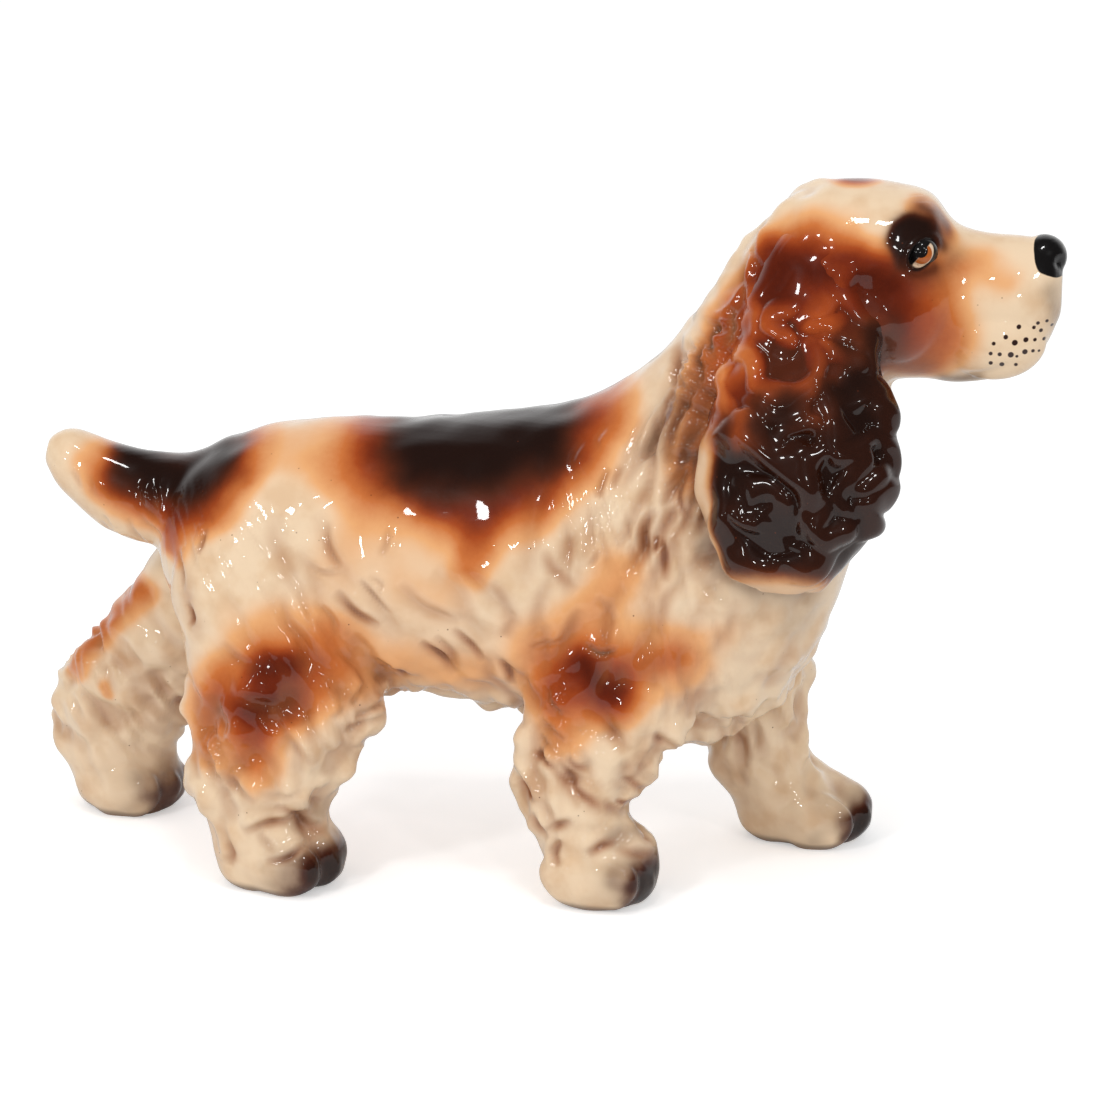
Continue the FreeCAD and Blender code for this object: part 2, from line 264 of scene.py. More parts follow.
# Overlapping closed forms melted into one skin of even squares.
def melted(skins, square):
    rough = show("rough", meshFrom("rough", joinSkins(skins), 1))
    melt = rough.modifiers.new("melt", "REMESH")
    melt.mode = "VOXEL"
    melt.voxel_size = square
    graph = bpy.context.evaluated_depsgraph_get()
    mesh = bpy.data.meshes.new_from_object(rough.evaluated_get(graph))
    points = np.empty(len(mesh.vertices) * 3, np.float32)
    mesh.vertices.foreach_get("co", points)
    corners = np.empty(len(mesh.loops), np.int32)
    mesh.loops.foreach_get("vertex_index", corners)
    bpy.data.objects.remove(rough)
    bpy.data.meshes.remove(mesh)
    return Skin(points.reshape(-1, 3), corners.reshape(-1, 4))


# Trunk with neck, head and tail: rows of top x and z, bottom x and z, and half width.
uprightForms = {
    "torso": [
        (-106, 104, -106, 88, 6), (-101, 113, -101, 74, 17), (-92, 119.5, -92, 62, 26),
        (-78, 126, -78, 54, 31), (-58, 129.5, -58, 50, 33.5), (-30, 130.7, -30, 51, 34.5),
        (-5, 133.5, -5, 47.5, 36), (16, 137.5, 24, 41, 37.5), (32, 146, 52, 38.5, 38),
        (42, 155, 72, 50, 36.5), (50, 165.7, 86, 72, 33.5), (58, 178, 94, 96, 29.5),
        (66, 189, 100, 120, 26), (75, 198, 104, 142, 24),
    ],
    "head": [
        (70, 194, 70, 150, 17), (80, 200.3, 80, 146, 22.5), (92, 202, 92, 145, 24.5),
        (104, 201, 104, 146.5, 23.5), (113, 198.5, 113, 147, 20.5), (120, 190.5, 121, 146, 16.5),
        (128, 188, 130, 147, 15), (138, 187.3, 138, 149.5, 13.5), (146, 186, 145, 156, 10.5),
        (149.5, 180, 149.5, 166, 5),
    ],
    "tail": [
        (-84, 124, -92, 92, 15), (-98, 118.3, -108, 91, 13), (-110, 118.5, -120, 94.5, 12),
        (-122, 121.5, -130, 102, 10.5), (-132, 124.3, -136.5, 109, 8.5), (-137.5, 122.5, -140, 114.5, 5),
    ],
}
# Legs: rows of height, rear x, front x, distance from the middle plane, and half width.
limbForms = {
    "right_hind_leg": [
        (0, -79, -54, 30, 10.5), (4, -84, -48, 30, 13), (12, -86, -47, 30, 14), (20, -88, -52.5, 30, 13),
        (28, -92, -49.5, 30, 13.5), (40, -91, -42, 29, 15), (50, -93, -35, 27, 16), (66, -93, -40, 25, 16),
        (85, -98, -45, 22, 15.5), (104, -92, -52, 18, 13), (116, -82, -62, 15, 8),
    ],
    "left_hind_leg": [
        (0, -138, -113, 30, 10.5), (4, -142, -109.5, 30, 13), (12, -144, -110, 30, 14),
        (20, -149, -111, 30, 13.5), (30, -150, -106, 30, 14), (42, -146, -95, 29, 15),
        (55, -135, -80, 27, 16), (70, -123, -68, 25, 16), (88, -110, -58, 22, 15.5),
        (104, -96, -58, 18, 13), (116, -84, -64, 15, 8),
    ],
    "right_foreleg": [
        (0, 20, 38, 30, 10), (4, 15, 42, 30, 13), (12, 10, 43, 30, 13.5), (19, 7.5, 41, 30, 13),
        (25, 4.5, 35, 30, 12.5), (33, 1.5, 37.5, 30, 12.5), (42, 3, 44, 29, 13.5), (55, 3.5, 54, 27, 14),
        (75, 6, 58, 25, 14.5), (95, 14, 56, 22, 13.5), (112, 24, 48, 18, 9),
    ],
    "left_foreleg": [
        (0, 65, 94, 30, 10.5), (4, 61, 99, 30, 13), (10, 59, 100, 30, 13.5), (16, 55, 96, 30, 13),
        (22, 52, 83.5, 30, 12.5), (32, 50.5, 81, 30, 12.5), (42, 50, 81, 29, 13.5), (55, 48, 80, 27, 14),
        (75, 38, 78, 25, 14.5), (95, 30, 70, 22, 13.5), (112, 36, 60, 18, 9),
    ],
}
pieceNames = [*uprightForms, *limbForms]
# Paws: x of the tip, strength of the dark toes, and how far from the tip their colour starts.
paws = {
    "right_hind_leg": (-46.5, 0.95, -30), "left_hind_leg": (-108, 0.6, -20),
    "right_foreleg": (43.5, 1.0, -18), "left_foreleg": (100.5, 1.0, -15),
}
toeSettings = {
    "side": 30.0,  # distance of a paw from the middle plane
    "toes": [(-9.4, 19.5, -12), (-3.4, 15.5, -4), (3.4, 15.5, 4), (9.4, 19.5, 12)],  # across, back, splay
    "tilt": 6,
    "halves": (14.5, 6.0, 9.6),
    "height": 9.0,
}
# Eggs for nose, cheeks and flews: centre, half sizes, turn and tilt. The last two are on both sides.
faceEggs = [
    ((144.4, 0, 181.8), (6.2, 6.8, 6.0), 0, 14),
    ((104, 12, 170), (17, 12, 17), 0, 0),
    ((131, 7.5, 160), (15, 8.5, 11.5), -6, 4),
]
skinSettings = {
    "roughSquare": 1.6,  # edge of the first melt's squares
    "fineSquare": 0.82,
    "blendRounds": 9,  # smoothing that runs the limbs into the trunk
    "fineRounds": 3,  # smoothing after the last melt
    "borderRounds": 6,  # smoothing of the borders between castings
}


# Which side of the dog a piece is on: 1 is its left.
def sideOf(name):
    return 1 if name.startswith("left") else -1


def bodySkin():
    rough = melted([ringSkin(rings) for rings in formRings.values()], skinSettings["roughSquare"])
    rough.relax(skinSettings["blendRounds"])
    eggs = []
    for name, (tip, *_) in paws.items():
        for across, back, splay in toeSettings["toes"]:
            centre = (tip - back, sideOf(name) * toeSettings["side"] + across, toeSettings["height"])
            eggs.append(eggSkin(centre, toeSettings["halves"], splay, toeSettings["tilt"]))
    for (x, y, z), halves, turn, tilt in faceEggs:
        for side in (-1, 1) if y else (1,):
            eggs.append(eggSkin((x, side * y, z), halves, side * turn, tilt))
    fine = melted([rough, *eggs], skinSettings["fineSquare"])
    fine.relax(skinSettings["fineRounds"])
    return fine


stage("melting the dog's forms")
formRings = {name: uprightRings(rows, 70) for name, rows in uprightForms.items()}
for name, rows in limbForms.items():
    formRings[name] = levelRings(rows, 60, sideOf(name))
body = bodySkin()

# Points belong to the form that they are deepest in, and to the head ahead of a plane at the neck.
neckJoint = {"point": (82, 157), "facing": (0.777, 0.629), "above": 120}
reaches = np.stack([formReach(body.points.astype(np.float32), formRings[name]) for name in pieceNames], 1)
reaches = body.spread(reaches, skinSettings["borderRounds"])
ahead = (body.points[:, [0, 2]] - neckJoint["point"]) @ neckJoint["facing"]
atHead = (ahead > 0) & (body.points[:, 2] > neckJoint["above"])
reaches[:, pieceNames.index("head")] = np.where(atHead, 0, 9)
owner = reaches.argmin(1)


# For each flat point: distance from a line, the same signed by side, and share of the line behind it.
def nearLine(flat, line):
    best = np.full(len(flat), np.inf)
    along, signed = np.zeros((2, len(flat)))
    runs = np.diff(line, axis=0)
    for k, (start, run) in enumerate(zip(line, runs)):
        offset = flat - start
        share = np.clip(offset @ run / max(run @ run, 1e-9), 0, 1)
        distance = np.hypot(*(offset - share[:, None] * run).T)
        nearer = distance < best
        best[nearer] = distance[nearer]
        along[nearer] = (k + share[nearer]) / len(runs)
        signed[nearer] = np.sign(run[0] * offset[nearer, 1] - run[1] * offset[nearer, 0])
    return best, signed * best, along


# Which flat points lie in a line's box and a margin round it.
def inBox(flat, line, margin):
    return ((flat > line.min(0) - margin) & (flat < line.max(0) + margin)).all(1)


# One lock: a groove along the line with a soft ridge beside it, and the brown in the groove.
def lockRelief(flat, line, width):
    _, signed, along = nearLine(flat, line)
    taper = np.sin(np.pi * np.clip(along, 0, 1))**0.6
    groove = np.exp(-(signed / (0.36 * width))**2)
    ridge = np.exp(-((signed - 0.75 * width) / (0.55 * width))**2)
    stain = np.exp(-((signed + 0.05 * width) / (0.5 * width))**2)
    return taper * (0.75 * ridge - groove), taper * stain


# Locks of the coat, drawn on the photograph: width and depth in millimetres, strength of the brown,
# and the line's pixels. Flank and thigh first, then belly, shoulder, neck, legs.
drawnLocks = [
    (3, 0.8, 0.55, 322, 526, 326, 548, 342, 574), (2.4, 0.6, 0.25, 300, 565, 320, 574, 346, 577),
    (3.4, 0.9, 0.75, 334, 593, 352, 613, 378, 631), (2, 0.7, 0.5, 358, 581, 374, 599, 388, 617),
    (1.8, 0.5, 0.2, 367, 577, 381, 588, 377, 597), (2.4, 0.5, 0.3, 387, 531, 384, 548, 379, 560),
    (2.4, 0.6, 0.3, 313, 603, 330, 620, 336, 640), (2.2, 0.5, 0.2, 298, 590, 306, 610, 312, 630),
    (3, 0.9, 0.7, 451, 630, 470, 648, 483, 668), (3, 0.6, 0.45, 432, 640, 446, 656, 452, 676),
    (3.2, 0.8, 0.7, 416, 648, 434, 660, 450, 684), (3, 0.9, 0.8, 384, 676, 392, 679, 399, 691),
    (2.4, 0.6, 0.4, 366, 664, 382, 672, 390, 688), (3, 0.7, 0.35, 334, 650, 352, 668, 366, 690),
    (3, 0.9, 0.85, 497, 661, 507, 675, 510, 692), (3.4, 0.4, 0.4, 503, 640, 510, 622, 513, 610),
    (4, 0.7, 0.6, 553, 662, 568, 634, 580, 606), (3.4, 0.6, 0.5, 598, 594, 612, 616, 606, 640),
    (3.6, 0.5, 0.2, 570, 536, 580, 560, 576, 590), (2.4, 0.9, 0.9, 585, 640, 602, 650, 620, 646),
    (2, 0.9, 0.6, 548, 686, 556, 702, 566, 712), (2.6, 0.6, 0.4, 530, 652, 545, 645, 566, 640),
    (2.6, 0.7, 0.6, 606, 474, 600, 488, 596, 503), (2.4, 0.6, 0.5, 620, 470, 614, 482, 611, 494),
    (2.6, 0.7, 0.6, 650, 450, 642, 462, 634, 470), (3.4, 1.1, 0.9, 672, 402, 664, 430, 645, 458),
    (3.4, 1, 0.8, 690, 398, 676, 428, 668, 470), (3, 0.6, 0.9, 655, 532, 657, 546, 652, 552),
    (2.4, 0.5, 0.4, 600, 548, 594, 560, 588, 566), (2.6, 0.6, 0.35, 632, 520, 626, 536, 618, 548),
    (2.8, 0.6, 0.2, 576, 452, 566, 470, 572, 486), (2.4, 0.5, 0.15, 598, 440, 590, 452, 596, 462),
    (3, 0.9, 0.8, 686, 470, 680, 500, 690, 524), (3, 0.9, 0.8, 700, 440, 694, 470, 700, 500),
    (2.6, 1.1, 0.9, 712, 330, 704, 356, 712, 372), (2.8, 1.2, 0.8, 722, 318, 730, 340, 722, 360),
    (2.6, 1.1, 0.8, 700, 352, 692, 372, 700, 392), (2.6, 0.9, 0.5, 742, 268, 734, 292, 742, 312),
    (2.4, 0.8, 0.4, 758, 240, 746, 262, 752, 282), (2.4, 0.9, 0.5, 680, 372, 676, 390, 684, 404),
    (2.4, 0.9, 0.8, 530, 750, 546, 756, 560, 765), (2.6, 0.7, 0.4, 534, 736, 552, 744, 566, 752),
    (3.2, 0.6, 0.7, 568, 750, 580, 758, 594, 760), (2, 0.6, 0.4, 540, 722, 556, 728, 566, 736),
    (2.6, 1, 0.7, 516, 780, 524, 786, 530, 800), (3, 0.9, 0.6, 548, 826, 562, 818, 576, 812),
    (2.8, 0.9, 0.7, 562, 860, 556, 848, 564, 832), (2.2, 0.7, 0.7, 616, 796, 626, 802, 634, 800),
    (3.2, 0.9, 0.8, 590, 846, 604, 838, 622, 834), (2.6, 0.9, 0.3, 352, 706, 358, 696, 366, 688),
    (2.6, 0.9, 0.4, 356, 718, 372, 712, 392, 708), (2.4, 0.8, 0.3, 348, 730, 364, 724, 384, 722),
    (2.6, 0.8, 0.3, 338, 716, 344, 704, 340, 694), (2.6, 0.8, 0.4, 226, 760, 212, 744, 208, 728),
    (3, 0.7, 0.2, 262, 776, 282, 788, 306, 784), (3, 1, 0.6, 248, 824, 268, 816, 292, 814, 312, 806),
    (2.4, 1, 0.7, 272, 850, 292, 848, 312, 836), (3, 0.9, 0.6, 232, 860, 236, 846, 230, 834),
    (2.6, 0.8, 0.4, 322, 806, 314, 796, 320, 784), (2.4, 0.9, 0.8, 182, 604, 190, 618, 186, 632),
    (2.4, 0.7, 0.5, 168, 560, 176, 580, 178, 598), (1.8, 0.6, 0.7, 192, 560, 196, 548, 200, 534),
    (2, 0.7, 0.5, 130, 500, 136, 520, 138, 536), (2, 0.6, 0.4, 116, 506, 120, 520, 124, 530),
    (4, 0.7, 0.3, 222, 640, 240, 656, 262, 664), (4, 1.1, 0.2, 246, 686, 262, 696, 282, 700),
]
# Loose locks strewn over patches: centre and half sizes (x, z), count, heading, length, width, depth
# and brown.
strewnLocks = [
    ((-18, 78), (38, 22), 15, -55, 24, 5, 0.6, 0.45), ((-72, 84), (24, 26), 9, -66, 22, 5, 0.5, 0.35),
    ((30, 96), (24, 26), 16, -108, 24, 5.4, 0.6, 0.35),
    ((52, 130), (17, 28), 26, -112, 24, 4.4, 1.25, 0.85),
    ((66, 78), (20, 22), 9, -112, 18, 4.6, 0.5, 0.25), ((-70, 34), (20, 20), 20, -62, 14, 3.8, 0.75, 0.55),
    ((28, 34), (20, 20), 20, -52, 13, 3.6, 0.75, 0.6), ((72, 34), (18, 20), 18, -80, 13, 3.6, 0.7, 0.4),
    ((-122, 44), (24, 28), 22, -60, 15, 3.8, 0.75, 0.35), ((-118, 104), (14, 8), 8, -50, 9, 2.4, 0.5, 0.3),
]
lockSettings = {
    "plane": -36,  # side on which the drawn locks are laid
    "depth": 1.25,
    "seed": 40,
}


def strewnLines(patch, seed):
    middle, halves, count, heading, length, width, depth, brown = patch
    rng = np.random.default_rng(seed)
    made = []
    for _ in range(count):
        centre = middle + rng.uniform(-1, 1, 2) * halves
        angle = np.radians(heading + rng.normal(0, 11))
        run = np.array([np.cos(angle), np.sin(angle)]) * length * rng.uniform(0.6, 1.3)
        across = np.array([-run[1], run[0]]) * rng.uniform(-0.14, 0.14)
        third = centre + run / 6 + across * rng.uniform(0, 0.8)
        line = [centre - run / 2, centre - run / 6 + across, third, centre + run / 2]
        shares = [rng.uniform(*limits) for limits in ((0.7, 1.25), (0.6, 1.3), (0.2, 1.3))]
        made.append((line, width * shares[0], depth * shares[1], brown * shares[2]))
    return made


# Height and brown of every lock on a skin. The drawn locks are on both sides of the dog, and on the
# inner faces of the legs they fade upwards.
def coatRelief(points, normals):
    height, brown = np.zeros((2, len(points)))
    flat = points[:, [0, 2]]
    inner = 0.8 * falling(points[:, 2], 56, 78)
    drawn = [(onSide(row[3:], lockSettings["plane"]), *row[:3]) for row in drawnLocks]
    for side in (-1, 1):
        facing = rising(normals[:, 1] * side, 0, 0.4) * np.where(points[:, 1] * side > -2, 1, inner)
        locks = list(drawn)
        for number, patch in enumerate(strewnLocks):
            locks += strewnLines(patch, lockSettings["seed"] + 2 * number + (side > 0))
        for line, width, depth, tint in locks:
            line = curveThrough(line, 12)
            near = inBox(flat, line, 2.2 * width) & (facing > 0)
            lift, groove = lockRelief(flat[near], line, width)
            height[near] += lockSettings["depth"] * depth * lift * facing[near]
            brown[near] = np.maximum(brown[near], tint * groove * facing[near])
    return height, brown


# Airbrushed clouds along lines drawn on the photograph, some umber ones being painted shade: side of
# the pixels' plane, full radius, fade, strength, and the pixels.
sprayedLines = {
    "rust": [
        (-20, 6.5, 13, 0.84, 374, 450, 430, 470, 500, 468, 562, 434),
        (-32, 4, 9, 0.62, 440, 494, 530, 488), (-32, 4.5, 9, 0.55, 466, 510, 486, 520),
        (-32, 1.6, 7.5, 0.4, 476, 534, 472, 566), (-10, 2, 10, 0.16, 326, 452, 304, 448),
        (-10, 4.4, 9, 0.84, 122, 472, 150, 492, 194, 498, 234, 458),
        (-22, 1.5, 6, 0.5, 166, 520, 172, 548), (-8, 2, 9, 0.2, 262, 446, 270, 440),
        (-4, 2, 8, 0.2, 90, 458, 104, 470), (-40, 2, 8, 0.9, 268, 668, 286, 664),
        (-40, 2.4, 8, 0.95, 254, 706, 282, 700), (-40, 5.4, 12, 0.62, 246, 700, 290, 684, 318, 676),
        (-40, 3, 9, 0.5, 262, 730, 256, 756), (-40, 3, 12, 0.24, 240, 640, 300, 630, 330, 640),
        (-36, 3, 9, 0.42, 212, 690, 206, 740), (-42, 3.4, 9, 0.96, 584, 672, 608, 694),
        (-42, 4, 12, 0.54, 568, 690, 630, 670, 662, 664), (-42, 3, 10, 0.36, 545, 700, 560, 740),
        (-38, 3, 13, 0.3, 530, 650, 590, 616, 620, 580), (-34, 4, 12, 0.24, 396, 672, 470, 680),
        (-34, 3, 14, 0.16, 404, 584, 440, 596), (-34, 3, 14, 0.16, 336, 560, 360, 530),
        (-8, 3, 12, 0.42, 610, 404, 560, 430), (-24, 4.6, 9, 1, 790, 270, 840, 272, 886, 284),
        (-28, 8, 9, 1, 770, 300, 800, 350, 884, 330), (-16, 1, 8, 0.2, 800, 226, 850, 230),
        (-28, 3, 9, 0.62, 772, 262, 746, 320, 738, 400), (-30, 3, 9, 0.5, 712, 330, 700, 400, 694, 470),
        (-18, 3, 11, 0.46, 900, 296, 936, 310, 946, 340), (-18, 2, 9, 0.36, 936, 262, 958, 270),
        (-12, 1.6, 8, 0.22, 985, 262, 1006, 282), (-14, 2, 9, 0.42, 906, 352, 930, 366),
        (-10, 1.8, 4.6, 0.5, 921, 203, 935, 213, 949, 226), (-36, 2, 10, 0.14, 700, 652, 720, 640),
        (17, 2, 7, 0.5, 96, 632, 118, 610, 140, 590), (17, 0.8, 4, 0.32, 106, 682, 110, 690),
        (17, 1.4, 6, 0.42, 72, 666, 84, 650),
    ],
    "soot": [
        (-16, 4.5, 13, 1, 424, 448, 470, 452, 534, 432), (0, 5, 11, 0.9, 432, 420, 480, 416, 540, 410),
        (-6, 3.6, 8, 1, 136, 462, 170, 474, 206, 466, 224, 452),
        (-20, 1.6, 5.4, 0.97, 905, 252, 902, 238, 909, 229, 921, 231),
        (-20, 1.6, 3.4, 0.9, 912, 243, 922, 241), (-18, 0.6, 3.4, 0.42, 930, 238, 943, 248),
        (-20, 0.6, 3.8, 0.45, 901, 266, 914, 275, 930, 272),
    ],
    "umber": [
        (-10, 0.8, 3.4, 0.95, 921, 203, 935, 213, 949, 226),
        # Painted shade: the umber clouds down the throat under the jaw, along the ear's rear edge on the
        # neck and under the ear's lower edge stand for the shadows of jaw and ear. The other umber clouds
        # are the figure's own brown.
        (-18, 1, 5.5, 0.5, 926, 277, 944, 270, 956, 256), (-22, 3, 8, 0.75, 880, 346, 874, 372, 880, 396),
        (-14, 1.4, 5, 0.5, 906, 358, 924, 368), (-34, 2, 7, 0.55, 700, 396, 692, 440, 702, 500, 716, 552),
        (-30, 1, 6, 0.4, 672, 410, 650, 452), (-34, 1, 5, 0.6, 712, 545, 750, 588, 800, 600, 836, 584),
        (-26, 1, 7, 0.3, 790, 632, 810, 612), (-6, 1, 4.5, 0.5, 1051, 296, 1056, 318),
        (-8, 0.6, 3, 0.8, 946, 381, 962, 382, 976, 378), (-40, 1, 5, 0.4, 300, 822, 322, 812),
        (-40, 1, 5, 0.5, 620, 836, 640, 828),
    ],
}
paintSettings = {
    "frontFrom": 48.0,  # ahead of this x, on head and chest, a cloud keeps to its own side
    "crownSpot": (856, 181),  # pixel of the spot on top of the head
    "crownHalves": (6.5, 6.5, 6.0),
    "crownStrength": 0.85,
}


# How much of each colour lies on a point. A cloud thins out as exp(-(d/s)^2), with s the radius and
# half of the fade, and clouds of one colour screen over each other.
def paint(points):
    flat = points[:, [0, 2]] + 0.7 * wander(points, 15, 3) + 0.12 * wander(points, 4.5, 5)
    coats = {}
    for colour, rows in sprayedLines.items():
        coat = coats[colour] = np.zeros(len(points))
        for side, radius, fade, strength, *pixels in rows:
            line = curveThrough(onSide(pixels, side), 10)
            near = inBox(flat, line, radius + 1.7 * fade)
            cloud = strength * np.exp(-(nearLine(flat[near], line)[0] / (radius + 0.5 * fade))**2)
            if side > 0:
                cloud = cloud * (points[near, 1] > 0)
            if side < -9 and line[:, 0].min() > paintSettings["frontFrom"]:
                cloud = cloud * rising(np.abs(points[near, 1]), -0.1 * side, -0.75 * side)
            coat[near] = 1 - (1 - coat[near]) * (1 - cloud)
    spotX, spotZ = onSide(paintSettings["crownSpot"], 0)[0]
    gap = np.linalg.norm((points - (spotX, 0, spotZ)) / paintSettings["crownHalves"], axis=1)
    coats["rust"] = np.maximum(coats["rust"], paintSettings["crownStrength"] * np.exp(-gap**3))
    return coats


# Soft lumps of the modelled coat: on legs, belly and neck, and next to none on face and back.
def coatLumps(points):
    x, _, z = points.T
    low = falling(z, 46, 88)
    neck = 0.6 * between(x, 40, 56, 78, 92) * rising(z, 60, 90)
    share = np.maximum(low, neck) * (0.2 + 0.8 * rising(z, 14, 28))
    lumps = 0.95 * softNoise(points, 15, 11) + 0.42 * softNoise(points, 7, 12)
    return share * lumps + 0.12 * softNoise(points, 11, 13)


# Streaks of hair, from noise drawn out along a heading: the heading in degrees, ranges of x and of
# height where they lie, and how high they are.
hairStreaks = [
    (-56, (-112, -100, -2, 16), (40, 62, 104, 118), 0.18),
    (-102, (2, 20, 58, 70), (36, 54, 112, 128), 0.42),
    (-112, (34, 46, 74, 84), (96, 108, 176, 186), 0.85),
    (-74, (-152, -140, 100, 110), (16, 26, 48, 66), 0.5),
]


def streaks(points):
    x, y, z = points.T
    height = np.zeros(len(points))
    for number, (heading, across, up, rise) in enumerate(hairStreaks):
        turn = np.radians(heading + 9 * np.sin(x / 17 + z / 23))
        along, beside = x * np.cos(turn) + z * np.sin(turn), z * np.cos(turn) - x * np.sin(turn)
        wave = softNoise(np.c_[beside, 0.55 * y, 0.24 * along], 6.5, 50 + number)
        height += between(x, *across) * between(z, *up) * rise * (0.8 - np.abs(wave))
    return height


# The eyes: pixels of the opening's middle, of iris and pupil, and sizes in millimetres.
eyeSettings = {
    "middle": (922.0, 254.2),
    "iris": (921.6, 253.0),
    "pupil": (921.2, 250.0),
    "plane": -18.0,  # side on which the pixels are laid
    "halves": (3.8, 2.75),  # long and short half of the opening
    "slant": 52.0,  # degrees that its front corner is raised
    "socket": 1.8,  # depth
    "lid": 0.45,  # height of the rim
    "ball": 4.3,  # radius
}
eyeMiddle, eyeIris, eyePupil = (
    onSide(eyeSettings[key], eyeSettings["plane"])[0] for key in ("middle", "iris", "pupil"))
slantCos, slantSin = (float(part(np.radians(eyeSettings["slant"]))) for part in (np.cos, np.sin))
# Ridges and furrows of the face: half width, height, and pixels.
faceRidges = [
    (3.6, 1.1, 891, 240, 900, 222, 922, 213, 946, 226), (2.4, 0.5, 894, 268, 906, 274, 926, 270),
    (7, -0.7, 905, 300, 930, 330, 946, 366), (1.6, -1, 1012, 368, 988, 377, 958, 383),
    (6, -0.5, 958, 262, 985, 268, 1020, 262),
]
nostrils = {"middle": (148.0, 4.4, 181.2), "halves": (2.4, 1.8, 1.5), "depth": 1.0}


# Face: a socket with a raised rim for each eye, the ridges, and the nostrils.
def faceRelief(points, normals):
    flat, facing = points[:, [0, 2]], np.abs(normals[:, 1])
    offset = flat - eyeMiddle
    along, across = offset @ (slantCos, slantSin), offset @ (-slantSin, slantCos)
    share = np.hypot(along / eyeSettings["halves"][0], across / eyeSettings["halves"][1])
    eyes = rising(facing, 0.1, 0.5) * (share < 4) * (points[:, 0] > 95)
    rim = np.exp(-((share - 1.32) / 0.26)**2) * (1 + 0.5 * np.clip(across / 4, -1, 1))
    height = eyes * (eyeSettings["lid"] * rim - eyeSettings["socket"] * falling(share, 0.7, 1.15))
    sides = rising(facing, 0.15, 0.6) * (points[:, 0] > 90)
    for width, rise, *pixels in faceRidges:
        distance, _, along = nearLine(flat, curveThrough(onSide(pixels, -17), 14))
        taper = np.sin(np.pi * np.clip(along, 0.04, 0.96))**0.5
        height += rise * sides * np.exp(-(distance / width)**2) * taper
    gap = np.linalg.norm((np.abs(points) - nostrils["middle"]) / nostrils["halves"], axis=1)
    return height - nostrils["depth"] * np.exp(-gap**2)


# Curls of the ear, drawn on the photograph: half width and height in millimetres, and pixels.
earCurls = [
    (2.6, 1.8, 813, 252, 828, 261, 842, 278, 840, 301, 854, 320, 876, 337, 879, 348),
    (2.2, 1.5, 813, 252, 817, 264, 831, 273, 826, 287, 817, 287),
    (2.6, 1.8, 792, 261, 783, 273, 795, 287, 792, 301, 781, 315, 772, 331, 781, 348, 772, 360),
    (2.4, 1.7, 767, 256, 758, 267, 764, 281, 753, 298, 744, 312, 753, 326, 741, 337),
    (2.6, 1.7, 831, 301, 817, 315, 800, 312, 792, 320),
    (2.8, 2, 806, 360, 811, 376, 800, 390, 778, 397, 761, 392, 753, 376, 741, 365, 736, 348),
    (2.4, 1.6, 840, 337, 854, 346, 868, 354, 873, 374, 868, 388),
    (2.4, 1.5, 817, 365, 834, 362, 854, 371, 856, 382), (2.2, 1.3, 800, 330, 816, 336, 830, 330, 842, 340),
    (3.6, 2.6, 727, 449, 741, 428, 758, 435, 772, 449, 792, 463, 809, 477, 813, 497, 814, 522),
    (2.8, 1.9, 753, 410, 772, 418, 795, 410, 811, 396, 826, 393),
    (2.5, 1.9, 786, 461, 781, 444, 786, 427, 803, 421, 817, 430, 820, 447, 809, 455, 797, 447, 800, 435),
    (2.8, 1.9, 834, 404, 840, 421, 834, 438, 840, 455, 854, 461, 856, 477, 845, 491, 851, 508, 868, 511),
    (3.4, 2, 854, 396, 873, 396, 884, 413, 890, 433, 887, 449),
    (2.8, 1.8, 842, 433, 856, 444, 876, 441, 890, 458, 884, 475, 868, 480, 854, 475),
    (2.8, 1.8, 884, 477, 882, 497, 868, 503, 873, 522, 856, 528),
    (2.6, 1.7, 817, 483, 826, 503, 823, 525, 834, 534, 851, 517), (2.4, 1.3, 797, 536, 806, 550, 792, 564),
    (3, 1.6, 724, 463, 716, 494, 724, 528, 744, 553, 772, 567, 800, 564, 828, 545, 840, 534),
    (2.6, 1.3, 744, 489, 761, 483, 781, 497, 775, 508), (2.4, 1.3, 730, 497, 744, 511, 758, 522, 753, 503),
    (2.2, 1.2, 713, 441, 705, 461, 702, 489, 708, 517, 724, 550, 753, 573, 786, 583, 817, 576),
    (2.4, 1.6, 728, 372, 720, 390, 730, 408, 722, 426),
]


# A curl is a round ridge, height times sqrt(1 - (distance / half width)^2), thinning at its ends.
# Where curls meet, the higher one shows.
def curlRelief(flat):
    height = np.zeros(len(flat))
    for width, rise, *pixels in earCurls:
        line = curveThrough(onSide(pixels, -42), 40)
        near = inBox(flat, line, width)
        distance, _, along = nearLine(flat[near], line)
        bulge = np.sqrt(np.clip(1 - (distance / (1.2 * width))**2, 0, 1))
        taper = np.clip(np.sin(np.pi * np.clip(along, 0, 1)) * 1.6 + 0.25, 0, 1)
        height[near] = np.maximum(height[near], rise * bulge * taper)
    return height


# Curls with a wandering line and small ripples.
def hairRelief(points):
    ridge = curlRelief(points[:, [0, 2]] + 0.9 * wander(points, 12, 34))
    ridge = ridge * (1.2 - 0.4 * rising(points[:, 2], 138, 160))
    return ridge + 0.7 * softNoise(points, 19, 37) + 0.3 * softNoise(points, 8, 31)


